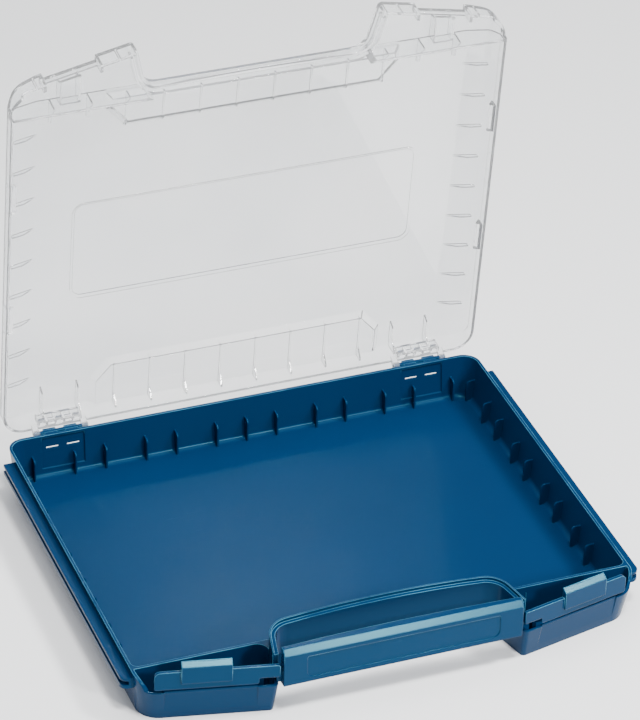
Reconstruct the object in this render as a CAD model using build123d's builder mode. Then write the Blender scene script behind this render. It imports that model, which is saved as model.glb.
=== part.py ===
import os
from math import atan, cos, pi, radians, sin, sqrt, tan

from build123d import *

os.makedirs("parts", exist_ok=True)

# All sizes are in millimetres and degrees. X runs across the case, Y to the
# rear, Z up from the face the case stands on. Pieces run an overlap into the
# wall that they join.

# Overall case
half_width = 174.6
rim_height = 33.7
closed_height = 53.0
rear_y = 132.0
front_wall_y = -136.7
wall = 2.0
overlap = 0.5
floor_thickness = 2.0
draft = 3.6
rear_corner_radius = 12.0
floor_fillet = 4.0

# Front blocks that carry the latches
front_angle = 12.4
corner_front_y = -151.0
block_drop = 10.0
block_draft = 5.0
block_end_draft = 1.2
front_corner_radius = 16.0
block_edge_radius = 3.0
block_overlap = 10.0
inner_corner_loss = 6.0
curl_start = 0.8
curl_end = 2.0
end_back_inset = 5.0
end_front_gap = 3.0
panel_recess = 0.8
panel_recess_foot = 6.0
panel_recess_inner = 99.0
panel_recess_outer = 158.0
lip_rise = 1.1
lip_bevel = 0.2

# Handle and the raised wall behind it
handle_half = 83.0
handle_back_y = -163.0
handle_depth = 8.5
handle_bow = 2.4
handle_below_rim = 11.0
handle_top_gap = 2.8
handle_chamfer = 3.0
handle_chamfer_drop = 4.2
handle_wall = 2.0
handle_rib_count = 7
handle_flange = 3.6
handle_flange_top = 35.3
label_half = 67.0
label_bottom_rise = 3.5
label_top_drop = 7.2
label_depth = 0.6
label_corner_radius = 5.0
cut_radius = 12.0
crest_gap = 0.4
crest_radius = 747.0
crest_width = 1.2
crest_side_gap = 0.4
ledge_drop = 2.4
ledge_proud = 0.2
lip_gap = 0.3
gusset_radius = 8.0

# Rails along the sides
rail_out = 6.9
rail_web = 1.9
rail_top_drop = 4.9
rail_flange = 2.0
rail_groove = 3.3
rail_lip = 2.7
rail_rear_gap = 19.0
rail_front_gap = 12.0
rail_nose_radius = 5.0

# Ribs inside the tray, on a 52 mm grid
grid_pitch = 52.0
rib_offset = 29.7
rib_thickness = 1.2
rib_depth = 4.6
rib_top_drop = 14.6
rib_nose = 3.0
side_rib_shift = 14.4
side_rib_front_gap = 12.0

# Hinge
hinge_behind = 3.0
hinge_below_rim = 1.0
hinge_from_side = 41.1
pin_radius = 1.6
pin_gap = 0.05
hook_spacing = 15.2
hook_width = 9.0
hook_wall = 1.6
slot_height = 1.6
slot_below_rim = 10.2
hook_foot_rise = 1.2
hook_foot_depth = 1.3
relief_depth = 0.8
relief_half = 15.5
arm_spacing = 35.0
arm_width = 4.0
arm_wall = 1.1
arm_foot = 6.0
open_angle = 83.87

# Latches
latch_end_gap = 0.8
latch_side_gap = 10.1
latch_thickness = 2.4
latch_foot_gap = 2.6
latch_rise = 6.2
tab_shift = 6.8
tab_width = 32.8
tab_proud = 1.5
tab_foot = 5.0
tab_overlap = 1.0
plate_radius = 1.5
tab_front_rise = 10.5
tab_top_rise = 13.3
nose_height = 2.4
nose_width = 13.0
nose_reach = 1.0
latch_pin_depth = 5.0
latch_pin_rise = 2.9
latch_pin_radius = 1.25
latch_pin_gap = 0.05
lug_radius = 2.3
lug_width = 3.0
lug_step = 4.0
wing_cut = 13.5
wing_cut_height = 4.4
wing_corner_radius = 4.0
cheek_radius = 2.1
cheek_width = 3.0
cheek_inner_gap = 11.5
cheek_outer_gap = 7.5
cheek_leg_start = 0.6
cheek_leg_depth = 3.4

# Lid
lid_gap = 0.2
lid_corner_radius = 15.0
lid_front_radius = 18.0
horn_radius = 3.0
side_fold = 22.6
side_fold_drop = 3.8
side_shoulder = 6.0
side_shoulder_drop = 10.4
lid_outer_radii = (4.0, 8.0, 20.0)
lid_inner_radii = (3.0, 6.0, 18.0)
top_edge_radius = 3.0
recess_drop = 4.0
rear_recess_half = 95.0
rear_recess_y = 94.0
front_recess_half = 91.0
front_recess_y = -105.5
recess_slant = 13.0
front_recess_stop = -128.4
panel_pad_half = 124.4
panel_pad_rear_y = 35.5
panel_pad_front_y = -45.4
panel_pad_radius = 9.0
panel_pad_height = 0.8
skirt_gap = 0.4
corner_skirt_rise = 3.3
pocket_bevel = 9.0
inner_wall_drop = 8.8
inner_wall_width = 1.6
tab_recess_gap = 3.5
tab_recess_outer_gap = 1.0
tab_recess_depth = 4.0
tab_recess_lip = 5.0
slit_width = 1.2
slit_spots = (98.7, 155.0)
catch_half = 7.0
catch_gap = 0.5
catch_thickness = 2.4
catch_web = 1.2
lid_rib_pitch = 26.0
lid_rib_thickness = 1.0
lid_rib_height = 11.5
lid_side_rib_count = 4
lid_side_rib_centre_y = -5.0
side_rib_depth = 2.6
side_rib_nose = 7.0
snap_length = 22.0
snap_depth = 4.0
snap_height = 9.0
snap_start = 0.8
snap_face = (2.8, 4.2)
snap_rear_y = 33.0
snap_front_y = -69.5
grid_block_half = 15.5
grid_block_depth = 4.0
grid_block_height = 9.1
grid_cells = 5
grid_wall = 1.4
grid_window_rise = 5.4
grid_window_height = 3.4
grid_pocket_height = 2.2

# Derived sizes
slope = tan(radians(front_angle))
lean = cos(radians(front_angle))
block_height = rim_height - block_drop
end_back_x = handle_half - end_back_inset
end_front_x = handle_half + end_front_gap
lid_rim = rim_height + lid_gap
panel_under = closed_height - wall
crest_top = panel_under - crest_gap
crest_start = wall + crest_side_gap
crest_end = crest_start + crest_width
channel_end = crest_end + crest_side_gap
handle_bottom = rim_height - handle_below_rim
handle_top = closed_height - handle_top_gap
hinge_y = rear_y + hinge_behind
hinge_z = rim_height - hinge_below_rim
hinge_x = half_width - hinge_from_side
latch_inner_x = end_front_x - latch_end_gap
latch_outer_x = half_width - latch_side_gap
latch_x = (latch_inner_x + latch_outer_x) / 2
latch_half = (latch_outer_x - latch_inner_x) / 2 / lean
latch_bottom = block_height + latch_foot_gap
latch_top = rim_height + latch_rise
skirt_bottom = latch_top + skirt_gap


def front_y(x, depth=0.0):
    """Y of the slanted front face at x, or of a plane that lies depth behind it."""
    return corner_front_y - (half_width - x) * slope + depth / lean


def rear_inner_y(z):
    """Y of the inside of the tray's rear wall at height z."""
    return rear_y - wall - draft * (1 - z / rim_height)


def side_inner_x(z):
    """X of the inside of the tray's side wall at height z."""
    return half_width - wall - draft * (1 - z / rim_height)


def end_x(y, depth=0.0):
    """X of a front block's inner end face at y, or of a face depth inside it."""
    share = (front_wall_y - y) / (front_wall_y - front_y(end_front_x))
    return end_back_x + (end_front_x - end_back_x) * share + depth


def crest_z(x):
    """Height of the arched crest of the raised wall at x."""
    return crest_top - crest_radius + sqrt(crest_radius**2 - x**2)


def cut_x(y, shift):
    """X at y of the end line of the handle's cut-out, moved outwards by shift."""
    return end_x(y) + shift / end_lean


def cut_band(inner, outer, end_y):
    """Line around a band that follows the cut-out for the handle, seen from above."""
    near, far = front_wall_y + inner, front_wall_y + outer
    return FilletPolyline(
        (0, near),
        (cut_x(near, inner), near),
        (cut_x(end_y, inner), end_y),
        (cut_x(end_y, outer), end_y),
        (cut_x(far, outer), far),
        (0, far),
        radius=[0, cut_radius + inner, 0, 0, cut_radius + outer, 0],
        close=True,
    )


def crest_area(drop, level):
    """Lines around the area between the arched crest, moved down by drop, and a level line."""
    end = handle_half + 2 * crest_start
    start_z, middle_z, end_z = (crest_z(x) - drop for x in (0, end / 2, end))
    ThreePointArc((0, start_z), (end / 2, middle_z), (end, end_z))
    Polyline((end, end_z), (end, level), (0, level), (0, start_z))


def tray_points(z, inset=0.0):
    """Half outline of the tray's main box at height z."""
    lean_in = draft * (1 - z / rim_height)
    side = half_width - lean_in - inset
    rear = rear_y - lean_in - inset
    return [(0, front_wall_y + inset), (side, front_wall_y + inset), (side, rear), (0, rear)]


def block_points(z, inset=0.0):
    """Outline of a front block at height z, closed along the tray's front wall."""
    share = max(0.0, 1 - z / block_height)
    side = half_width - draft * (1 - z / rim_height) - inset
    depth = block_draft * share + inset
    end = block_end_draft * share + inset
    back = front_wall_y if inset else front_wall_y + block_overlap
    corner = end_front_x + end
    return [
        (end_x(back, end), back),
        (corner, front_y(corner, depth)),
        (side, front_y(side, depth)),
        (side, back),
    ]


end_turn = atan((end_front_x - end_back_x) / (front_wall_y - front_y(end_front_x)))
end_lean = cos(end_turn)

# Space inside the tray, open at the top
with BuildPart() as tray_space:
    for height in (floor_thickness, rim_height + 1.0):
        with BuildSketch(Plane.XY.offset(height)):
            with BuildLine():
                FilletPolyline(
                    tray_points(height, wall),
                    radius=[0, floor_fillet + 1.0, rear_corner_radius - wall, 0],
                    close=True,
                )
            make_face()
    loft(ruled=True)
    low_edges = tray_space.edges().group_by(Axis.Z)[0]
    fillet([edge for edge in low_edges if edge.center().X > 0.1], radius=floor_fillet)

# Space over the ledge of the raised wall, where the lid's edge lies
cut_depth = front_wall_y - front_y(0)
with BuildPart() as ledge_space:
    with BuildSketch(Plane.XY.offset(rim_height)):
        with BuildLine():
            cut_band(-1.0, crest_start, handle_back_y - 1)
        make_face()
    extrude(amount=closed_height - rim_height)
    with BuildSketch(Plane.XZ.offset(-front_wall_y - channel_end)):
        with BuildLine():
            crest_area(ledge_drop, closed_height)
        make_face()
    extrude(amount=cut_depth, mode=Mode.INTERSECT)

# Tray with its front blocks, rails, ribs and hinge hooks, right half first
with BuildPart() as base_tray:
    for height in (0.0, rim_height):
        with BuildSketch(Plane.XY.offset(height)):
            with BuildLine():
                FilletPolyline(
                    tray_points(height), radius=[0, 0, rear_corner_radius, 0], close=True
                )
            make_face()
    loft(ruled=True)

    for height in (0.0, block_height, rim_height):
        with BuildSketch(Plane.XY.offset(height)):
            with BuildLine():
                FilletPolyline(
                    block_points(height),
                    radius=[0, block_edge_radius, front_corner_radius, 0],
                    close=True,
                )
            make_face()
    loft(ruled=True)

    # The side wall comes down to the front block in a curve
    with BuildSketch(Plane.YZ):
        with BuildLine():
            start = (front_wall_y - curl_start, rim_height)
            curl = TangentArc(start, (corner_front_y + curl_end, block_height), tangent=(-1, 0))
            Polyline(
                curl @ 1,
                (front_y(0) - wall, block_height),
                (front_y(0) - wall, rim_height + 1),
                (front_wall_y - curl_start, rim_height + 1),
                start,
            )
        make_face()
    extrude(amount=half_width + 1, mode=Mode.SUBTRACT)

    for height in (floor_thickness, block_height, rim_height + 1.0):
        with BuildSketch(Plane.XY.offset(height)):
            with BuildLine():
                share = max(0.0, 1 - height / block_height)
                corner = front_corner_radius - wall - inner_corner_loss * share
                FilletPolyline(
                    block_points(height, wall),
                    radius=[0, block_edge_radius - 1.0, corner, 0],
                    close=True,
                )
            make_face()
    loft(ruled=True, mode=Mode.SUBTRACT)

    add(tray_space.part, mode=Mode.SUBTRACT)

    # Raised wall behind the handle. Its ends turn forward to the handle.
    with BuildSketch(Plane.XY.offset(block_height - 1)):
        with BuildLine():
            cut_band(-ledge_proud, crest_end, handle_back_y)
        make_face()
    extrude(amount=crest_top - block_height + 1)
    with BuildSketch(Plane.XY):
        with BuildLine():
            Polyline(
                (0, front_wall_y - ledge_proud),
                (end_back_x - cut_radius, front_wall_y - ledge_proud),
                (end_back_x - cut_radius, front_wall_y + crest_end),
                (0, front_wall_y + crest_end),
                close=True,
            )
        make_face()
    extrude(amount=block_height)
    with BuildSketch(Plane.XZ.offset(-front_wall_y - crest_end - 1)):
        with BuildLine():
            crest_area(0, closed_height)
        make_face()
    extrude(amount=front_wall_y - handle_back_y + crest_end + 2, mode=Mode.SUBTRACT)
    add(ledge_space.part, mode=Mode.SUBTRACT)

    # Rounded corner between the front wall and the end of the raised wall
    gusset_y = front_wall_y - gusset_radius
    reach = cut_radius + crest_end + gusset_radius
    turn_x = cut_x(front_wall_y, 0) - cut_radius * tan((pi / 2 - end_turn) / 2)
    gusset_x = turn_x + sqrt(reach**2 - (cut_radius - gusset_radius) ** 2)
    with BuildSketch(Plane.XY.offset(1)):
        with BuildLine():
            Polyline(
                (turn_x + cut_radius / 2, front_wall_y + wall / 2),
                (gusset_x, front_wall_y + wall / 2),
                (gusset_x, gusset_y),
                (cut_x(gusset_y, wall), gusset_y),
                close=True,
            )
        make_face()
        with Locations((gusset_x, gusset_y)):
            Circle(gusset_radius, mode=Mode.SUBTRACT)
    extrude(amount=rim_height - 1)

    # Recessed front face under the latch, with a lip that rises to the latch's plate
    pin_z = latch_bottom + latch_pin_rise
    latch_plane = Plane(
        origin=(latch_x, front_y(latch_x), 0),
        x_dir=(lean, sin(radians(front_angle)), 0),
        z_dir=(0, 0, 1),
    )
    cheek_plane = Plane(
        origin=latch_plane.origin,
        x_dir=latch_plane.y_dir,
        z_dir=latch_plane.x_dir,
    )
    recess_start = (panel_recess_inner - latch_x) / lean
    recess_length = (panel_recess_outer - panel_recess_inner) / lean
    with BuildSketch(cheek_plane.offset(recess_start)):
        with BuildLine():
            Polyline(
                (block_draft * (1 - panel_recess_foot / block_height), panel_recess_foot),
                (panel_recess, block_height),
                (panel_recess, block_height + 1),
                (-wall, block_height + 1),
                (-wall, panel_recess_foot),
                close=True,
            )
        make_face()
    extrude(amount=recess_length, mode=Mode.SUBTRACT)
    with BuildSketch(cheek_plane.offset(recess_start)):
        with BuildLine():
            Polyline(
                (panel_recess, block_height - 1),
                (panel_recess, block_height + lip_rise),
                (panel_recess + lip_bevel, block_height + lip_rise - lip_bevel),
                (wall, block_height + lip_bevel / 2),
                (wall, block_height - 1),
                close=True,
            )
        make_face()
    extrude(amount=recess_length)

    # Cheeks in the block that hold the latch's pin
    cheek_spots = (-latch_half + cheek_inner_gap, latch_half - cheek_outer_gap)
    leg_front = latch_pin_depth + cheek_leg_start
    for spot in cheek_spots:
        with BuildSketch(cheek_plane.offset(spot - cheek_width / 2)):
            with Locations((latch_pin_depth, pin_z)):
                Circle(cheek_radius)
            with BuildLine():
                Polyline(
                    (leg_front, pin_z - cheek_radius),
                    (leg_front, 1),
                    (leg_front + cheek_leg_depth, 1),
                    (leg_front + cheek_leg_depth, pin_z + cheek_radius),
                    (latch_pin_depth, pin_z + cheek_radius),
                    (latch_pin_depth, pin_z),
                    close=True,
                )
            make_face()
            with Locations((latch_pin_depth, pin_z)):
                Circle(latch_pin_radius, mode=Mode.SUBTRACT)
        extrude(amount=cheek_width)

    # Side rail: two flanges with a groove between them
    rail_top = rim_height - rail_top_drop
    groove_top = rail_top - rail_flange
    groove_bottom = groove_top - rail_groove
    rail_bottom = groove_bottom - rail_lip
    rail_root = half_width - wall
    rail_web_x = half_width + rail_web
    rail_edge = half_width + rail_out
    rail_rear = rear_y - rail_rear_gap
    rail_front = corner_front_y + rail_front_gap
    with BuildSketch(Plane.XY.offset(rail_bottom)):
        with BuildLine():
            FilletPolyline(
                (rail_root, rail_front),
                (rail_edge, rail_front),
                (rail_edge, rail_rear),
                (rail_root, rail_rear),
                radius=[0, rail_nose_radius, 0, 0],
                close=True,
            )
        make_face()
    extrude(amount=rail_top - rail_bottom)
    with BuildSketch(Plane.XZ.offset(-rail_rear - 1)):
        with BuildLine():
            Polyline(
                (rail_web_x, groove_bottom),
                (rail_edge + 1, groove_bottom),
                (rail_edge + 1, groove_top),
                (rail_web_x, groove_top),
                close=True,
            )
        make_face()
    extrude(amount=rail_rear - rail_front + 2, mode=Mode.SUBTRACT)

    # Ribs on the rear and front walls
    rib_top = rim_height - rib_top_drop
    last_rib = half_width - rear_corner_radius
    cross_spots = [grid_pitch * k for k in range(5)]
    cross_spots += [grid_pitch * k - rib_offset for k in range(1, 5)]
    for spot in cross_spots:
        if spot < last_rib:
            with BuildSketch(Plane.YZ.offset(spot - rib_thickness / 2)):
                for foot, inner in (
                    (rear_inner_y(0) + 1, rear_inner_y(0) - rib_depth),
                    (front_wall_y + wall - 1, front_wall_y + wall + rib_depth),
                ):
                    with BuildLine():
                        FilletPolyline(
                            (foot, 1),
                            (inner, 1),
                            (inner, rib_top),
                            (foot, rib_top),
                            radius=[0, 0, rib_nose, 0],
                            close=True,
                        )
                    make_face()
                    if foot > 0:
                        with BuildLine():
                            Polyline(
                                (foot - overlap, 1),
                                (foot - overlap, rib_top),
                                (rear_inner_y(rib_top) + 1, rib_top),
                                close=True,
                            )
                        make_face()
            extrude(amount=rib_thickness)

    # Ribs on the side walls
    side_spots = [grid_pitch * k + rib_offset - side_rib_shift for k in range(-3, 3)]
    side_spots += [grid_pitch * k - side_rib_shift for k in range(-3, 3)]
    side_foot = side_inner_x(0) + 1
    for spot in side_spots:
        if front_wall_y + side_rib_front_gap < spot < rear_y - rear_corner_radius:
            with BuildSketch(Plane.XZ.offset(-spot - rib_thickness / 2)):
                with BuildLine():
                    FilletPolyline(
                        (side_inner_x(rib_top) + 1, rib_top),
                        (side_foot - 1 - rib_depth, rib_top),
                        (side_foot - 1 - rib_depth, 1),
                        (side_foot, 1),
                        radius=[0, rib_nose, 0, 0],
                        close=True,
                    )
                make_face()
            extrude(amount=rib_thickness)

    # Hinge: shallow relief and slots in the rear wall, hooks behind it
    with BuildSketch(Plane.YZ.offset(hinge_x - relief_half)):
        with BuildLine():
            low, high = floor_thickness + floor_fillet + 2, rim_height - 2
            Polyline(
                (rear_inner_y(low) - 1, low),
                (rear_inner_y(low) + relief_depth, low),
                (rear_inner_y(high) + relief_depth, high),
                (rear_inner_y(high) - 1, high),
                close=True,
            )
        make_face()
    extrude(amount=2 * relief_half, mode=Mode.SUBTRACT)
    slot_z = rim_height - slot_below_rim
    for side in (-1, 1):
        hook_start = hinge_x + side * hook_spacing / 2 - hook_width / 2
        with BuildSketch(Plane.YZ.offset(hook_start)):
            with BuildLine():
                Polyline(
                    (rear_inner_y(slot_z) - 1, slot_z - slot_height / 2),
                    (rear_y + 1, slot_z - slot_height / 2),
                    (rear_y + 1, slot_z + slot_height / 2),
                    (rear_inner_y(slot_z) - 1, slot_z + slot_height / 2),
                    close=True,
                )
            make_face()
        extrude(amount=hook_width, mode=Mode.SUBTRACT)
        hook_out = hinge_y + pin_radius + hook_wall
        with BuildSketch(Plane.YZ.offset(hook_start)):
            with BuildLine():
                Polyline(
                    (rear_y - hook_foot_depth, slot_z + hook_foot_rise),
                    (hook_out, hinge_z - pin_radius - hook_wall),
                    (hook_out, rim_height),
                    (rear_y - hook_foot_depth, rim_height),
                    close=True,
                )
            make_face()
            with Locations((hinge_y, hinge_z)):
                Circle(pin_radius, mode=Mode.SUBTRACT)
        extrude(amount=hook_width)

    mirror(about=Plane.YZ)


# Handle, clipped between the two front blocks, right half first
with BuildPart() as front_handle:
    handle_front_y = handle_back_y - handle_depth
    shoulder_z = handle_top - handle_chamfer_drop
    with BuildSketch(Plane.YZ):
        with BuildLine():
            Polyline(
                (handle_back_y, handle_bottom),
                (handle_back_y, handle_top),
                (handle_front_y + handle_chamfer, handle_top),
                (handle_front_y, shoulder_z),
                (handle_front_y, handle_bottom),
                close=True,
            )
        make_face()
    extrude(amount=handle_half)

    # Bowed back
    with BuildSketch(Plane.XY.offset(handle_bottom - 1)):
        with BuildLine():
            ThreePointArc(
                (0, handle_back_y),
                (handle_half / 2, handle_back_y - handle_bow / 4),
                (handle_half, handle_back_y - handle_bow),
            )
            Polyline(
                (handle_half, handle_back_y - handle_bow),
                (handle_half + 1, handle_back_y - handle_bow),
                (handle_half + 1, handle_back_y + 1),
                (0, handle_back_y + 1),
                (0, handle_back_y),
            )
        make_face()
    extrude(amount=handle_top - handle_bottom + 2, mode=Mode.SUBTRACT)

    # Hollow from below, with ribs across
    bay = (handle_half - handle_wall) / handle_rib_count
    for k in range(handle_rib_count):
        bay_back = handle_back_y - handle_wall - handle_bow * (bay * (k + 1) / handle_half) ** 2
        with BuildSketch(Plane.YZ.offset(bay * k + handle_wall / 2)):
            with BuildLine():
                Polyline(
                    (bay_back, handle_bottom - 1),
                    (bay_back, handle_top - handle_wall),
                    (handle_front_y + handle_chamfer + 0.6, handle_top - handle_wall),
                    (handle_front_y + handle_wall, shoulder_z - 0.8),
                    (handle_front_y + handle_wall, handle_bottom - 1),
                    close=True,
                )
            make_face()
        extrude(amount=bay - handle_wall / 2, mode=Mode.SUBTRACT)

    # Recess for a label on the front
    with BuildSketch(Plane.XZ.offset(-handle_front_y)):
        with BuildLine():
            label_low = handle_bottom + label_bottom_rise
            label_high = handle_top - label_top_drop
            FilletPolyline(
                (-1, label_low),
                (label_half, label_low),
                (label_half, label_high),
                (-1, label_high),
                radius=[0, label_corner_radius, 1.0, 0],
                close=True,
            )
        make_face()
    extrude(amount=-label_depth, mode=Mode.SUBTRACT)

    # Flange that butts against the return wall and rests on the block
    with BuildSketch(Plane.XY.offset(block_height)):
        with BuildLine():
            Polyline(
                (handle_half - handle_wall, handle_back_y),
                (end_x(handle_back_y, wall), handle_back_y),
                (end_x(handle_back_y, wall), handle_back_y - handle_flange),
                (handle_half - handle_wall, handle_back_y - handle_flange),
                close=True,
            )
        make_face()
    extrude(amount=handle_flange_top - block_height)

    mirror(about=Plane.YZ)

# Right latch: front plate, finger tab with a nose, two lugs on the pin
with BuildPart() as latch_right:
    face_plane = Plane(
        origin=latch_plane.origin,
        x_dir=latch_plane.x_dir,
        z_dir=-latch_plane.y_dir,
    )
    with BuildSketch(face_plane):
        with BuildLine():
            FilletPolyline(
                (-latch_half, latch_bottom + wing_cut_height),
                (wing_cut - latch_half, latch_bottom + wing_cut_height),
                (wing_cut - latch_half, latch_bottom),
                (latch_half, latch_bottom),
                (latch_half, latch_top),
                (-latch_half, latch_top),
                radius=[1.0, 1.0, plate_radius, plate_radius, wing_corner_radius, plate_radius],
                close=True,
            )
        make_face()
    extrude(amount=-latch_thickness)

    tab_foot_z = latch_bottom + tab_foot
    tab_front_z = rim_height + tab_front_rise
    tab_top_z = rim_height + tab_top_rise
    with BuildSketch(cheek_plane.offset(tab_shift - tab_width / 2)):
        with BuildLine():
            Polyline(
                (-tab_proud, tab_foot_z),
                (-tab_proud, tab_front_z),
                (latch_thickness, tab_top_z),
                (latch_thickness, latch_top - tab_overlap),
                (overlap, latch_top - tab_overlap),
                (overlap, tab_foot_z),
                close=True,
            )
        make_face()
    extrude(amount=tab_width)
    with BuildSketch(cheek_plane.offset(tab_shift - nose_width / 2)):
        with BuildLine():
            Polyline(
                (latch_thickness - overlap, tab_top_z - nose_height),
                (latch_thickness + nose_reach, tab_top_z - nose_height),
                (latch_thickness + nose_reach, tab_top_z - nose_height / 2),
                (latch_thickness - overlap, tab_top_z),
                close=True,
            )
        make_face()
    extrude(amount=nose_width)

    for spot in (cheek_spots[0] + lug_step, cheek_spots[1] - lug_step):
        with BuildSketch(cheek_plane.offset(spot - lug_width / 2)):
            with Locations((latch_pin_depth, pin_z)):
                Circle(lug_radius)
            with BuildLine():
                Polyline(
                    (latch_thickness - overlap, pin_z - lug_radius),
                    (latch_pin_depth, pin_z - lug_radius),
                    (latch_pin_depth, pin_z + lug_radius),
                    (latch_thickness - overlap, pin_z + 2 * lug_radius),
                    close=True,
                )
            make_face()
            with Locations((latch_pin_depth, pin_z)):
                Circle(latch_pin_radius + latch_pin_gap, mode=Mode.SUBTRACT)
        extrude(amount=lug_width)

with BuildPart() as latch_left:
    mirror(latch_right.part, about=Plane.YZ)

# Pins of the latches, held in the block's cheeks
with BuildPart() as latch_pin_right:
    with BuildSketch(cheek_plane.offset(cheek_spots[0] - cheek_width / 2)):
        with Locations((latch_pin_depth, pin_z)):
            Circle(latch_pin_radius)
    extrude(amount=cheek_spots[1] - cheek_spots[0] + cheek_width)

with BuildPart() as latch_pin_left:
    mirror(latch_pin_right.part, about=Plane.YZ)

# Space inside the lid. Two steps in its roof match the hollows on top.
inner_profile = [
    (-1, lid_rim - 1),
    (half_width - wall, lid_rim - 1),
    (half_width - wall, panel_under - side_shoulder_drop),
    (half_width - side_shoulder - 0.6, panel_under - side_fold_drop),
    (half_width - side_fold - 0.4, panel_under),
    (-1, panel_under),
]
with BuildPart() as lid_space:
    space_depth = rear_y - wall - (front_wall_y + wall)
    with BuildSketch(Plane.XZ.offset(-(rear_y - wall))):
        with BuildLine():
            FilletPolyline(inner_profile, radius=[0, 0, *lid_inner_radii, 0], close=True)
        make_face()
    extrude(amount=space_depth)
    with BuildSketch(Plane.XY.offset(lid_rim - 1)):
        with BuildLine():
            FilletPolyline(
                (-1, front_wall_y + wall),
                (half_width - wall, front_wall_y + wall),
                (half_width - wall, rear_y - wall),
                (-1, rear_y - wall),
                radius=[0, 0, lid_corner_radius - wall, 0],
                close=True,
            )
        make_face()
    extrude(amount=closed_height, mode=Mode.INTERSECT)
    for half, near, far in (
        (rear_recess_half, rear_recess_y, rear_y + recess_slant),
        (front_recess_half, front_recess_y, front_recess_stop),
    ):
        turn = 1 if far > near else -1
        with BuildSketch(Plane.XY.offset(panel_under - recess_drop)):
            with BuildLine():
                Polyline(
                    (-20, near + turn * recess_drop),
                    (half - recess_drop / 2, near + turn * recess_drop),
                    (half + recess_slant - recess_drop, near + turn * (recess_drop + recess_slant)),
                    (half + recess_slant - recess_drop, far),
                    (-20, far),
                    close=True,
                )
            make_face()
        extrude(amount=recess_drop, taper=-45, mode=Mode.SUBTRACT)

# Pocket in the lid's front corner, with a set-back for the latch's tab
tab_low = latch_x + (tab_shift - tab_width / 2) * lean - tab_recess_gap
tab_high = latch_x + (tab_shift + tab_width / 2) * lean + tab_recess_outer_gap
pocket_end = end_front_x + wall
pocket_side = half_width - wall
back_face = tab_recess_depth + wall
with BuildPart() as corner_space:
    with BuildSketch(Plane.XZ.offset(-front_wall_y)):
        with BuildLine():
            FilletPolyline(inner_profile, radius=[0, 0, *lid_inner_radii, 0], close=True)
        make_face()
    extrude(amount=front_wall_y - front_y(0))
    with BuildSketch(Plane.XY.offset(lid_rim - 1)):
        with BuildLine():
            Polyline(
                (end_x(front_wall_y, wall), front_wall_y),
                (pocket_end, front_y(pocket_end, wall)),
                (tab_low - wall, front_y(tab_low - wall, wall)),
                (tab_low - wall, front_y(tab_low - wall, back_face)),
                (tab_high + wall, front_y(tab_high + wall, back_face)),
                (tab_high + wall, front_y(tab_high + wall, wall)),
                (pocket_side - pocket_bevel, front_y(pocket_side - pocket_bevel, wall)),
                (pocket_side, corner_front_y + pocket_bevel),
                (pocket_side, front_wall_y),
                close=True,
            )
        make_face()
    extrude(amount=closed_height, mode=Mode.INTERSECT)

# Space under the lid's front edge, clear of the raised wall's ledge
with BuildPart() as edge_space:
    with BuildSketch(Plane.XY.offset(lid_rim - 1)):
        with BuildLine():
            cut_band(-1.0, crest_start, front_y(0))
        make_face()
    extrude(amount=closed_height - lid_rim)
    with BuildSketch(Plane.XZ.offset(-front_wall_y - channel_end)):
        with BuildLine():
            crest_area(ledge_drop - lip_gap, lid_rim - 1)
        make_face()
    extrude(amount=cut_depth, mode=Mode.INTERSECT)

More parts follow.
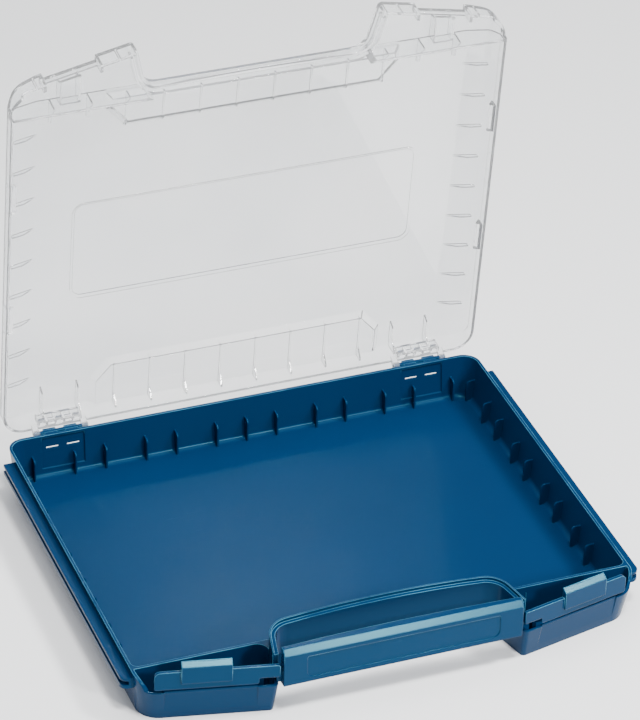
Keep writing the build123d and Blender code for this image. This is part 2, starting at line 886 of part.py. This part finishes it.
# Lid, modelled closed and turned open at the end, right half first
with BuildPart() as lid_shell:
    lid_length = rear_y - front_y(0) + 5
    with BuildSketch(Plane.XZ.offset(-rear_y)):
        with BuildLine():
            FilletPolyline(
                (0, lid_rim),
                (half_width, lid_rim),
                (half_width, closed_height - side_shoulder_drop + 0.6),
                (half_width - side_shoulder, closed_height - side_fold_drop),
                (half_width - side_fold, closed_height),
                (0, closed_height),
                radius=[0, 0, *lid_outer_radii, 0],
                close=True,
            )
        make_face()
    extrude(amount=lid_length)
    with BuildSketch(Plane.YZ):
        with BuildLine():
            FilletPolyline(
                (rear_y - lid_length, lid_rim),
                (rear_y, lid_rim),
                (rear_y, closed_height),
                (rear_y - lid_length, closed_height),
                radius=[0, 0, top_edge_radius, 0],
                close=True,
            )
        make_face()
    extrude(amount=half_width, mode=Mode.INTERSECT)
    with BuildSketch(Plane.XY.offset(lid_rim)):
        with BuildLine():
            FilletPolyline(
                (0, front_wall_y),
                (end_back_x, front_wall_y),
                (end_front_x, front_y(end_front_x)),
                (half_width, corner_front_y),
                (half_width, rear_y),
                (0, rear_y),
                radius=[0, cut_radius, horn_radius, lid_front_radius, lid_corner_radius, 0],
                close=True,
            )
        make_face()
    extrude(amount=closed_height - lid_rim, mode=Mode.INTERSECT)

    # Space inside and the hollows on top
    add(lid_space.part, mode=Mode.SUBTRACT)
    add(corner_space.part, mode=Mode.SUBTRACT)
    for half, near, far in (
        (rear_recess_half, rear_recess_y, rear_y + recess_slant),
        (front_recess_half, front_recess_y, front_recess_stop),
    ):
        turn = 1 if far > near else -1
        inner = recess_drop + 0.8
        with BuildSketch(Plane.XY.offset(closed_height - recess_drop)):
            with BuildLine():
                Polyline(
                    (-20, near + turn * inner),
                    (half - inner / 2, near + turn * inner),
                    (half + recess_slant - inner, near + turn * (inner + recess_slant)),
                    (half + recess_slant - inner, far),
                    (-20, far),
                    close=True,
                )
            make_face()
        extrude(amount=recess_drop, taper=-45, mode=Mode.SUBTRACT)

    with BuildSketch(Plane.XY.offset(lid_rim - 1)):
        with BuildLine():
            Polyline(
                (tab_low, front_y(tab_low) - 3),
                (tab_high, front_y(tab_high) - 3),
                (tab_high, front_y(tab_high, tab_recess_depth)),
                (tab_low, front_y(tab_low, tab_recess_depth)),
                close=True,
            )
        make_face()
    extrude(amount=closed_height, mode=Mode.SUBTRACT)
    with BuildSketch(Plane.XY.offset(lid_rim - 1)):
        with BuildLine():
            Polyline(
                (tab_low, front_y(tab_low)),
                (tab_high, front_y(tab_high)),
                (tab_high, front_y(tab_high, back_face + 0.1)),
                (tab_low, front_y(tab_low, back_face + 0.1)),
                close=True,
            )
        make_face()
    extrude(amount=closed_height - tab_recess_lip - lid_rim + 1, mode=Mode.SUBTRACT)

    # Slits in the front skirt
    for spot in slit_spots:
        low, high = spot - slit_width / 2, spot + slit_width / 2
        with BuildSketch(Plane.XY.offset(lid_rim - 1)):
            with BuildLine():
                Polyline(
                    (low, front_y(low) - 1),
                    (high, front_y(high) - 1),
                    (high, front_y(high, wall + 0.1)),
                    (low, front_y(low, wall + 0.1)),
                    close=True,
                )
            make_face()
        extrude(amount=panel_under - lid_rim + 1, mode=Mode.SUBTRACT)

    # Lower edge of the front skirt
    with BuildSketch(Plane.XZ.offset(-front_wall_y + 0.7)):
        with BuildLine():
            Polyline(
                (0, lid_rim - 1),
                (half_width + 1, lid_rim - 1),
                (half_width + 1, rim_height + corner_skirt_rise),
                (latch_outer_x + latch_end_gap, rim_height + corner_skirt_rise),
                (latch_outer_x + latch_end_gap, skirt_bottom),
                (0, skirt_bottom),
                close=True,
            )
        make_face()
    extrude(amount=lid_length, mode=Mode.SUBTRACT)

    # Edge that lies on the raised wall's ledge, and a channel and inner wall behind its crest
    add(edge_space.part, mode=Mode.SUBTRACT)
    with BuildSketch(Plane.XY.offset(lid_rim - 1)):
        with BuildLine():
            cut_band(wall, channel_end, handle_back_y - crest_side_gap)
        make_face()
    extrude(amount=panel_under - lid_rim + 1, mode=Mode.SUBTRACT)
    with BuildSketch(Plane.XY.offset(closed_height - inner_wall_drop)):
        with BuildLine():
            cut_band(channel_end, channel_end + inner_wall_width, handle_back_y)
        make_face()
    extrude(amount=inner_wall_drop - wall + overlap)

    # Catch that the latch's nose hooks over, with webs up to the roof
    nose_x = latch_x + tab_shift * lean
    catch_top = tab_top_z - nose_height - catch_gap
    catch_back = front_wall_y + overlap
    catch_low, catch_high = nose_x - catch_half, nose_x + catch_half
    with BuildSketch(Plane.XY.offset(catch_top - catch_thickness)):
        with BuildLine():
            Polyline(
                (catch_low, catch_back),
                (catch_high, catch_back),
                (catch_high, front_y(catch_high, tab_recess_depth)),
                (catch_low, front_y(catch_low, tab_recess_depth)),
                close=True,
            )
        make_face()
    extrude(amount=catch_thickness)
    for edge in (catch_low, catch_high - catch_web):
        with BuildSketch(Plane.YZ.offset(edge)):
            with BuildLine():
                Polyline(
                    (catch_back, catch_top - overlap),
                    (catch_back, panel_under + overlap),
                    (front_y(edge, back_face + wall), panel_under + overlap),
                    (front_y(edge, back_face), catch_top - overlap),
                    close=True,
                )
            make_face()
        extrude(amount=catch_web)

    # Raised panel inside
    with BuildSketch(Plane.XY.offset(panel_under - panel_pad_height)):
        with BuildLine():
            FilletPolyline(
                (0, panel_pad_front_y),
                (panel_pad_half, panel_pad_front_y),
                (panel_pad_half, panel_pad_rear_y),
                (0, panel_pad_rear_y),
                radius=[0, panel_pad_radius, panel_pad_radius, 0],
                close=True,
            )
        make_face()
    extrude(amount=panel_pad_height + overlap)
    with BuildSketch(Plane.XY.offset(closed_height - panel_pad_height)):
        with BuildLine():
            FilletPolyline(
                (0, panel_pad_front_y + wall),
                (panel_pad_half - wall, panel_pad_front_y + wall),
                (panel_pad_half - wall, panel_pad_rear_y - wall),
                (0, panel_pad_rear_y - wall),
                radius=[0, panel_pad_radius - wall, panel_pad_radius - wall, 0],
                close=True,
            )
        make_face()
    extrude(amount=panel_pad_height, mode=Mode.SUBTRACT)

    # Ribs along the rear and front edges
    rib_low = panel_under - lid_rib_height
    for k in range(6):
        spot = lid_rib_pitch * (k + 0.5)
        in_rear_recess = spot < rear_recess_half + recess_slant / 2
        in_front_recess = spot < front_recess_half + recess_slant / 2
        rear_end = rear_recess_y + (0 if in_rear_recess else recess_slant + 1.5)
        front_end = front_recess_y - (0 if in_front_recess else recess_slant - 1)
        rear_roof = panel_under + overlap - (recess_drop if in_rear_recess else 0)
        front_roof = panel_under + overlap - (recess_drop if in_front_recess else 0)
        behind_horn = spot > end_back_x
        front_foot = front_wall_y + (wall if behind_horn else channel_end + inner_wall_width) - overlap
        front_low = rib_low if behind_horn else closed_height - inner_wall_drop
        with BuildSketch(Plane.YZ.offset(spot - lid_rib_thickness / 2)):
            with BuildLine():
                FilletPolyline(
                    (rear_y - wall + overlap, rear_roof),
                    (rear_y - wall + overlap, rib_low),
                    (rear_y - wall - 2.0, rib_low),
                    (rear_y - wall - 9.0, panel_under - recess_drop - 1.6),
                    (rear_end + recess_drop - 1, panel_under - recess_drop - 1.2),
                    (rear_end, panel_under + 0.3),
                    (rear_end + recess_drop + 0.5, rear_roof),
                    radius=[0, 0, 0, 6.0, 0, 0, 0],
                    close=True,
                )
            make_face()
            with BuildLine():
                FilletPolyline(
                    (front_foot, front_roof),
                    (front_foot, front_low),
                    (front_foot + 2.0, front_low),
                    (front_foot + 9.0, panel_under - recess_drop - 1.6),
                    (front_end - recess_drop + 1, panel_under - recess_drop - 1.2),
                    (front_end, panel_under + 0.3),
                    (front_end - recess_drop - 0.5, front_roof),
                    radius=[0, 0, 0, 4.0, 0, 0, 0],
                    close=True,
                )
            make_face()
        extrude(amount=lid_rib_thickness)

    # Ribs along the side
    side_rib_foot = half_width - side_shoulder - overlap
    for k in range(-lid_side_rib_count, lid_side_rib_count + 1):
        spot = lid_side_rib_centre_y + lid_rib_pitch * k
        with BuildSketch(Plane.XZ.offset(-spot - lid_rib_thickness / 2)):
            with BuildLine():
                FilletPolyline(
                    (side_rib_foot, panel_under - side_fold_drop - side_rib_depth),
                    (side_rib_foot, panel_under - side_fold_drop + overlap),
                    (half_width - side_fold, panel_under + overlap),
                    (half_width - side_fold - 1, panel_under - 0.1),
                    (side_rib_foot - 8, panel_under - side_fold_drop - side_rib_depth / 2),
                    radius=[0, 0, 0, 0, side_rib_nose],
                    close=True,
                )
            make_face()
        extrude(amount=lid_rib_thickness)

    # Snap lugs near the rim of the side walls
    for spot in (snap_rear_y, snap_front_y):
        with BuildSketch(Plane.XZ.offset(-spot - snap_length / 2)):
            with BuildLine():
                Polyline(
                    (half_width - wall + overlap, lid_rim + snap_start),
                    (half_width - wall - snap_depth, lid_rim + snap_face[0]),
                    (half_width - wall - snap_depth, lid_rim + snap_face[1]),
                    (half_width - wall + overlap, lid_rim + snap_height),
                    close=True,
                )
            make_face()
        extrude(amount=snap_length)

    # Hinge: thick block with windows, and the arms that hold the pin
    with BuildSketch(Plane.XZ.offset(-(rear_y - wall + overlap))):
        with BuildLine():
            Polyline(
                (hinge_x - grid_block_half, lid_rim),
                (hinge_x + grid_block_half, lid_rim),
                (hinge_x + grid_block_half, lid_rim + grid_block_height),
                (hinge_x - grid_block_half, lid_rim + grid_block_height),
                close=True,
            )
        make_face()
    extrude(amount=grid_block_depth + overlap)
    block_face = -(rear_y - wall - grid_block_depth)
    cell = 2 * grid_block_half / grid_cells
    for k in range(grid_cells):
        cell_x = hinge_x - grid_block_half + cell * (k + 0.5)
        with BuildSketch(Plane.XZ.offset(block_face)):
            with Locations((cell_x, lid_rim + grid_window_rise)):
                Rectangle(cell - grid_wall, grid_window_height)
        depth = grid_block_depth / 2 if k % 2 else grid_block_depth + 2 * wall
        extrude(amount=-depth, mode=Mode.SUBTRACT)
        with BuildSketch(Plane.XY.offset(lid_rim)):
            with Locations((cell_x, rear_y - wall - grid_block_depth / 2)):
                Rectangle(cell - grid_wall, grid_block_depth - grid_wall)
        extrude(amount=grid_pocket_height, mode=Mode.SUBTRACT)
    for side in (-1, 1):
        arm_start = hinge_x + side * arm_spacing / 2 - arm_width / 2
        with BuildSketch(Plane.YZ.offset(arm_start)):
            with Locations((hinge_y, hinge_z)):
                Circle(pin_radius + arm_wall)
            with BuildLine():
                Polyline(
                    (rear_y - overlap, lid_rim),
                    (hinge_y - pin_radius - arm_wall + 0.1, lid_rim),
                    (hinge_y - pin_radius - arm_wall, hinge_z),
                    (hinge_y + pin_radius + arm_wall, hinge_z),
                    (hinge_y + pin_radius + arm_wall - 0.3, lid_rim),
                    (rear_y - overlap, lid_rim + arm_foot),
                    close=True,
                )
            make_face()
            with Locations((hinge_y, hinge_z)):
                Circle(pin_radius + pin_gap, mode=Mode.SUBTRACT)
        extrude(amount=arm_width)

    mirror(about=Plane.YZ)

# Hinge pins, held in the tray's hooks
with BuildPart() as hinge_pin_right:
    with BuildSketch(Plane.YZ.offset(hinge_x - arm_spacing / 2 - arm_width / 2)):
        with Locations((hinge_y, hinge_z)):
            Circle(pin_radius)
    extrude(amount=arm_spacing + arm_width)

with BuildPart() as hinge_pin_left:
    mirror(hinge_pin_right.part, about=Plane.YZ)

# The lid stands open in the rest pose
hinge_axis = Axis((0, hinge_y, hinge_z), (1, 0, 0))
open_lid = lid_shell.part.rotate(hinge_axis, -open_angle)

for name, piece in (
    ("base_tray", base_tray.part),
    ("front_handle", front_handle.part),
    ("latch_right", latch_right.part),
    ("latch_left", latch_left.part),
    ("latch_pin_right", latch_pin_right.part),
    ("latch_pin_left", latch_pin_left.part),
    ("lid_shell", open_lid),
    ("hinge_pin_right", hinge_pin_right.part),
    ("hinge_pin_left", hinge_pin_left.part),
):
    piece.label = name
    export_step(piece, f"parts/{name}.step")
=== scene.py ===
from math import cos, radians, sin

import bpy
from mathutils import Matrix, Vector

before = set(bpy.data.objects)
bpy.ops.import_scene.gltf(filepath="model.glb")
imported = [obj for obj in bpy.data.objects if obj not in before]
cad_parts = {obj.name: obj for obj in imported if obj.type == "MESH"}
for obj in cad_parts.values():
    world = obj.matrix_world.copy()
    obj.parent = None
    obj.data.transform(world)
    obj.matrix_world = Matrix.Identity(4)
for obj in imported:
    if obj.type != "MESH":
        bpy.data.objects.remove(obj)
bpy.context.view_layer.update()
print("frame loaded")


# camera: solved from the straight edges of the case in the photograph
cameraSettings = {
    "azimuth": -21.96,
    "elevation": 33.76,
    "roll": 1.92,
    "focalPixels": 4252.38,
    "distance": 2.87395,
    "target": (0.0, 0.0, 0.0337),  # the tray's middle, at the height of its rim
    "targetPixel": (310.45, 500.47),  # where the target shows in the picture
    "imageSize": (640, 720),
    "sensorHeight": 36.0,
    "clipEnd": 50.0,
}


def addCamera(settings):
    az, el, roll = (radians(settings[key]) for key in ("azimuth", "elevation", "roll"))
    back = Vector((sin(az) * cos(el), -cos(az) * cos(el), sin(el)))
    right = Vector((0, 0, 1)).cross(back).normalized()
    up = back.cross(right)
    turnedRight = cos(roll) * right + sin(roll) * up
    turnedUp = cos(roll) * up - sin(roll) * right
    width, height = settings["imageSize"]
    pixelX, pixelY = settings["targetPixel"]
    metresPerPixel = settings["distance"] / settings["focalPixels"]
    place = Vector(settings["target"])
    place -= turnedRight * (pixelX - width / 2) * metresPerPixel
    place += turnedUp * (pixelY - height / 2) * metresPerPixel
    place += back * settings["distance"]
    data = bpy.data.cameras.new("photoCamera")
    data.sensor_fit = "VERTICAL"
    data.sensor_height = settings["sensorHeight"]
    data.lens = settings["focalPixels"] * data.sensor_height / height
    data.clip_end = settings["clipEnd"]
    camera = bpy.data.objects.new("photoCamera", data)
    turn = Matrix((turnedRight, turnedUp, back)).transposed()
    camera.matrix_world = Matrix.Translation(place) @ turn.to_4x4()
    bpy.context.scene.collection.objects.link(camera)
    bpy.context.scene.camera = camera


addCamera(cameraSettings)
print("camera set")


# node helpers: an input takes either a value or the socket that drives it
def feed(node, inputs):
    for key, value in inputs.items():
        if isinstance(value, bpy.types.NodeSocket):
            node.id_data.links.new(value, node.inputs[key])
        else:
            node.inputs[key].default_value = value


def addNode(tree, kind, inputs=None, **settings):
    node = tree.nodes.new(kind)
    for key, value in settings.items():
        setattr(node, key, value)
    feed(node, inputs or {})
    return node


def objectCoords(tree):
    return addNode(tree, "ShaderNodeTexCoord").outputs["Object"]


def heightOf(tree, coords):
    return addNode(tree, "ShaderNodeSeparateXYZ", {"Vector": coords}).outputs["Z"]


def calculate(tree, operation, first, second):
    return addNode(tree, "ShaderNodeMath", {0: first, 1: second}, operation=operation).outputs["Value"]


def noise(tree, coords, scale, detail, roughness):
    inputs = {"Vector": coords, "Scale": scale, "Detail": detail, "Roughness": roughness}
    return addNode(tree, "ShaderNodeTexNoise", inputs).outputs["Fac"]


def rescale(tree, value, fromRange, toRange=(0.0, 1.0), **settings):
    inputs = {"Value": value}
    inputs["From Min"], inputs["From Max"] = fromRange
    inputs["To Min"], inputs["To Max"] = toRange
    return addNode(tree, "ShaderNodeMapRange", inputs, **settings).outputs["Result"]


# socket numbers of the mix node when it mixes colours
mixSockets = {"factor": 0, "first": 6, "second": 7, "result": 2}


def mixColours(tree, factor, first, second, **settings):
    inputs = {mixSockets["factor"]: factor, mixSockets["first"]: first, mixSockets["second"]: second}
    mix = addNode(tree, "ShaderNodeMix", inputs, data_type="RGBA", **settings)
    return mix.outputs[mixSockets["result"]]


def newMaterial(name):
    material = bpy.data.materials.new(name)
    material.use_nodes = True
    return material, material.node_tree, material.node_tree.nodes["Principled BSDF"]


# studio floor: pale paper
floorSettings = {
    "size": 30.0,
    "colour": (0.88, 0.885, 0.89, 1.0),
    "roughness": 0.9,
    "specular": 0.2,
}


def addFloor(settings):
    bpy.ops.mesh.primitive_plane_add(size=settings["size"])
    floor = bpy.context.object
    floor.name = "studioFloor"
    paper, _, shader = newMaterial("floorPaper")
    feed(
        shader,
        {
            "Base Color": settings["colour"],
            "Roughness": settings["roughness"],
            "Specular IOR Level": settings["specular"],
        },
    )
    floor.data.materials.append(paper)


# sky: brighter overhead
skySettings = {
    "low": (0.42, 0.43, 0.45, 1.0),
    "high": (1.2, 1.23, 1.27, 1.0),
    "heights": (0.45, 1.0),  # sines of the elevations between which it brightens
    "strength": 0.7,
}


def addSky(settings):
    sky = bpy.data.worlds.new("studioSky")
    sky.use_nodes = True
    tree = sky.node_tree
    direction = addNode(tree, "ShaderNodeTexCoord").outputs["Generated"]
    height = heightOf(tree, direction)
    blend = rescale(tree, height, settings["heights"], interpolation_type="SMOOTHSTEP")
    tone = mixColours(tree, blend, settings["low"], settings["high"])
    feed(tree.nodes["Background"], {"Color": tone, "Strength": settings["strength"]})
    bpy.context.scene.world = sky


# soft boxes: the handle's chamfer mirrors the front one, the tops of the latch tabs the upper two
lampSettings = {
    "frontBox": {
        "place": (0.66, -1.85, 1.24),
        "aim": (0.0, -0.17, 0.04),
        "size": (0.27, 0.2),
        "power": 36.0,
    },
    "upperLeftBox": {
        "place": (0.03, -0.74, 1.94),
        "aim": (-0.13, -0.16, 0.04),
        "size": (0.34, 0.34),
        "power": 40.0,
    },
    "upperRightBox": {
        "place": (1.17, -0.56, 1.7),
        "aim": (0.13, -0.16, 0.04),
        "size": (0.34, 0.34),
        "power": 40.0,
    },
    "topBox": {
        "place": (-0.5, 0.2, 2.6),
        "aim": (0.0, 0.0, 0.05),
        "size": (1.8, 1.8),
        "power": 24.0,
    },
    "leftBox": {
        "place": (-2.4, 0.5, 1.3),
        "aim": (0.0, 0.0, 0.15),
        "size": (1.2, 1.2),
        "power": 12.0,
    },
}


def addLamp(name, settings):
    data = bpy.data.lights.new(name, "AREA")
    data.shape = "RECTANGLE"
    data.size, data.size_y = settings["size"]
    data.energy = settings["power"]
    lamp = bpy.data.objects.new(name, data)
    lamp.location = settings["place"]
    beam = Vector(settings["aim"]) - Vector(settings["place"])
    lamp.rotation_euler = beam.to_track_quat("-Z", "Y").to_euler()
    bpy.context.scene.collection.objects.link(lamp)


addFloor(floorSettings)
addSky(skySettings)
for lampName, lamp in lampSettings.items():
    addLamp(lampName, lamp)
print("studio set")


# node groups: the inputs are label and kind, the results are label, kind and socket
def startGroup(name, inputs):
    group = bpy.data.node_groups.new(name, "ShaderNodeTree")
    for label, kind in inputs.items():
        group.interface.new_socket(label, in_out="INPUT", socket_type=kind)
    return group, group.nodes.new("NodeGroupInput").outputs


def endGroup(group, results):
    for label, (kind, _) in results.items():
        group.interface.new_socket(label, in_out="OUTPUT", socket_type=kind)
    sink = group.nodes.new("NodeGroupOutput")
    feed(sink, {label: socket for label, (_, socket) in results.items()})
    return group


# rounded edges: a small radius on every edge, and a mask of the upper edges that are painted pale, a
# painted highlight that partly also stands for rubbing marks
edgeSettings = {
    "samples": 8,
    "blotchScale": 40.0,
    "blotchDetail": 3.0,
    "blotchRoughness": 0.5,
    "blotchRange": (0.3, 0.6),
    "rimHighlightAndWearRange": (0.35, 1.0),  # from the faintest to the strongest blotch of painted rim highlight and rubbing
}


def buildRoundedEdges(settings):
    inputs = {
        "Radius": "NodeSocketFloat",
        "Reach": "NodeSocketFloat",
        "Highlight And Wear From": "NodeSocketFloat",
        "Highlight And Wear To": "NodeSocketFloat",
    }
    group, given = startGroup("roundedEdges", inputs)
    bevel = addNode(group, "ShaderNodeBevel", {"Radius": given["Radius"]}, samples=settings["samples"])
    rounded = bevel.outputs["Normal"]
    flat = addNode(group, "ShaderNodeNewGeometry").outputs["Normal"]
    facing = addNode(group, "ShaderNodeVectorMath", {0: rounded, 1: flat}, operation="DOT_PRODUCT")
    turned = calculate(group, "SUBTRACT", 1.0, facing.outputs["Value"])
    edge = rescale(group, turned, (0.0, given["Reach"]))
    coords = objectCoords(group)
    # only high edges are kept: there the pale paint is a painted highlight, partly also rubbing marks
    high = rescale(group, heightOf(group, coords), (given["Highlight And Wear From"], given["Highlight And Wear To"]))
    rimEdgeMask = calculate(group, "MULTIPLY", edge, high)
    blotches = noise(
        group, coords, settings["blotchScale"], settings["blotchDetail"], settings["blotchRoughness"]
    )
    uneven = rescale(group, blotches, settings["blotchRange"], settings["rimHighlightAndWearRange"])
    rimHighlightAndWear = calculate(group, "MULTIPLY", rimEdgeMask, uneven)
    results = {"Normal": ("NodeSocketVector", rounded), "Rim Highlight And Wear": ("NodeSocketFloat", rimHighlightAndWear)}
    return endGroup(group, results)


# moulded grain: fine pits of a spark-eroded mould, and a slow drift of tone and gloss
grainSettings = {
    "pitDetail": 3.0,
    "pitRoughness": 0.6,
    "pitDepth": 0.0001,
    "driftScale": 9.0,
    "driftDetail": 4.0,
    "driftRoughness": 0.55,
    "driftMiddle": 0.5,  # the noise that leaves tone and gloss as they are
}


def buildMouldedGrain(settings):
    inputs = {
        "Colour": "NodeSocketColor",
        "Roughness": "NodeSocketFloat",
        "Grain Size": "NodeSocketFloat",
        "Grain Height": "NodeSocketFloat",
        "Drift": "NodeSocketFloat",
        "Normal": "NodeSocketVector",
    }
    group, given = startGroup("mouldedGrain", inputs)
    coords = objectCoords(group)
    pits = noise(group, coords, given["Grain Size"], settings["pitDetail"], settings["pitRoughness"])
    bump = addNode(
        group,
        "ShaderNodeBump",
        {
            "Distance": settings["pitDepth"],
            "Strength": given["Grain Height"],
            "Height": pits,
            "Normal": given["Normal"],
        },
    )
    slow = noise(
        group, coords, settings["driftScale"], settings["driftDetail"], settings["driftRoughness"]
    )
    centred = calculate(group, "SUBTRACT", slow, settings["driftMiddle"])
    drift = calculate(group, "MULTIPLY", centred, given["Drift"])
    tone = calculate(group, "ADD", drift, 1.0)
    shade = mixColours(group, 1.0, given["Colour"], tone, blend_type="MULTIPLY")
    gloss = calculate(group, "MULTIPLY", given["Roughness"], tone)
    results = {
        "Colour": ("NodeSocketColor", shade),
        "Roughness": ("NodeSocketFloat", gloss),
        "Normal": ("NodeSocketVector", bump.outputs["Normal"]),
    }
    return endGroup(group, results)


# scuffs: short faint scratches in a few patches
scuffSettings = {
    "stretch": (1.0, 14.0, 5.0),
    "turn": (0.0, 0.0, 0.5),
    "streakScale": 60.0,
    "streakDetail": 6.0,
    "streakRoughness": 0.75,
    "streakRange": (0.62, 0.72),
    "patchScale": 14.0,
    "patchDetail": 2.0,
    "patchRoughness": 0.5,
    "patchRange": (0.45, 0.65),
}


def buildScuffs(settings):
    group, given = startGroup("scuffs", {"Amount": "NodeSocketFloat"})
    coords = objectCoords(group)
    stretch = addNode(
        group,
        "ShaderNodeMapping",
        {"Vector": coords, "Scale": settings["stretch"], "Rotation": settings["turn"]},
    )
    streaks = noise(
        group,
        stretch.outputs["Vector"],
        settings["streakScale"],
        settings["streakDetail"],
        settings["streakRoughness"],
    )
    thin = rescale(group, streaks, settings["streakRange"])
    patches = noise(
        group, coords, settings["patchScale"], settings["patchDetail"], settings["patchRoughness"]
    )
    where = rescale(group, patches, settings["patchRange"])
    both = calculate(group, "MULTIPLY", thin, where)
    mask = calculate(group, "MULTIPLY", both, given["Amount"])
    return endGroup(group, {"Mask": ("NodeSocketFloat", mask)})


roundedEdges = buildRoundedEdges(edgeSettings)
mouldedGrain = buildMouldedGrain(grainSettings)
scuffs = buildScuffs(scuffSettings)


def placeGrain(tree, settings):
    edges = addNode(tree, "ShaderNodeGroup", {"Radius": settings["edgeRadius"]}, node_tree=roundedEdges)
    grain = addNode(
        tree,
        "ShaderNodeGroup",
        {
            "Colour": settings["colour"],
            "Roughness": settings["roughness"],
            "Grain Size": settings["grainSize"],
            "Grain Height": settings["grainHeight"],
            "Drift": settings["drift"],
            "Normal": edges.outputs["Normal"],
        },
        node_tree=mouldedGrain,
    )
    return edges, grain.outputs


# blue moulding of the tray, handle and latches
blueSettings = {
    "tray": {
        "colour": (0.0002, 0.0215, 0.071, 1.0),
        # the pale edge colour is a painted highlight on the upper rims, partly also pale rubbing marks
        "rimHighlightAndWearColour": (0.16, 0.5, 0.7, 1.0),
        "scuffColour": (0.008, 0.07, 0.18, 1.0),
        "glossTint": (0.34, 0.9, 1.0, 1.0),
        "roughness": 0.24,  # under 0.27 with its drift, because the denoiser draws an edge there
        "specular": 0.13,
        "grainSize": 1400.0,
        "grainHeight": 0.15,
        "drift": 0.22,
        "scuffAmount": 0.2,
        "edgeRadius": 0.0009,
        "edgeReach": 0.3,
        "rimHighlightAndWearStrength": 0.75,
        "rimHighlightAndWearHeights": (0.029, 0.033),  # no edge gets the painted highlight and rubbing marks below the first, all edges above the second get them
    },
}
blueSettings["handle"] = dict(
    blueSettings["tray"], roughness=0.18, specular=0.2, grainHeight=0.05, rimHighlightAndWearHeights=(0.04, 0.045)
)
blueSettings["latch"] = dict(blueSettings["handle"], rimHighlightAndWearHeights=(0.032, 0.038))


def buildBlue(name, settings):
    material, tree, shader = newMaterial(name)
    edges, grain = placeGrain(tree, settings)
    lowest, highest = settings["rimHighlightAndWearHeights"]
    feed(edges, {"Reach": settings["edgeReach"], "Highlight And Wear From": lowest, "Highlight And Wear To": highest})
    marks = addNode(tree, "ShaderNodeGroup", {"Amount": settings["scuffAmount"]}, node_tree=scuffs)
    scuffed = mixColours(tree, marks.outputs["Mask"], grain["Colour"], settings["scuffColour"])
    # upper edges painted pale: a painted highlight, partly also rubbing marks
    rimHighlightAndWearMask = calculate(tree, "MULTIPLY", edges.outputs["Rim Highlight And Wear"], settings["rimHighlightAndWearStrength"])
    rimmed = mixColours(tree, rimHighlightAndWearMask, scuffed, settings["rimHighlightAndWearColour"])
    feed(
        shader,
        {
            "Base Color": rimmed,
            "Roughness": grain["Roughness"],
            "Normal": grain["Normal"],
            "Specular IOR Level": settings["specular"],
            "Specular Tint": settings["glossTint"],
        },
    )
    return material


# clear lid: polished clear moulding, with a shadow that lets most of the light through
lidSettings = {
    "colour": (0.965, 0.975, 0.98, 1.0),
    "roughness": 0.03,
    "grainSize": 260.0,
    "grainHeight": 0.012,
    "drift": 0.3,
    "edgeRadius": 0.0004,
    "ior": 1.5,
    "clearness": 0.93,
    "shadowAlpha": 0.12,
}


def buildLidClear(name, settings):
    material, tree, shader = newMaterial(name)
    _, grain = placeGrain(tree, settings)
    rays = addNode(tree, "ShaderNodeLightPath").outputs
    soft = calculate(tree, "MAXIMUM", rays["Is Shadow Ray"], rays["Is Diffuse Ray"])
    feed(
        shader,
        {
            "Base Color": grain["Colour"],
            "Roughness": grain["Roughness"],
            "Normal": grain["Normal"],
            "IOR": settings["ior"],
            "Transmission Weight": settings["clearness"],
            "Alpha": rescale(tree, soft, (0.0, 1.0), (1.0, settings["shadowAlpha"])),
        },
    )
    return material


trayBlue = buildBlue("trayBlue", blueSettings["tray"])
handleBlue = buildBlue("handleBlue", blueSettings["handle"])
latchBlue = buildBlue("latchBlue", blueSettings["latch"])
lidClear = buildLidClear("lidClear", lidSettings)

nodeFinish = {
    "base_tray": trayBlue,
    "front_handle": handleBlue,
    "latch_left": latchBlue,
    "latch_right": latchBlue,
    "latch_pin_left": trayBlue,
    "latch_pin_right": trayBlue,
    "hinge_pin_left": handleBlue,
    "hinge_pin_right": handleBlue,
    "lid_shell": lidClear,
}
for nodeName, finish in nodeFinish.items():
    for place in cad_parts[nodeName].material_slots:
        place.material = finish
print("finishes placed")
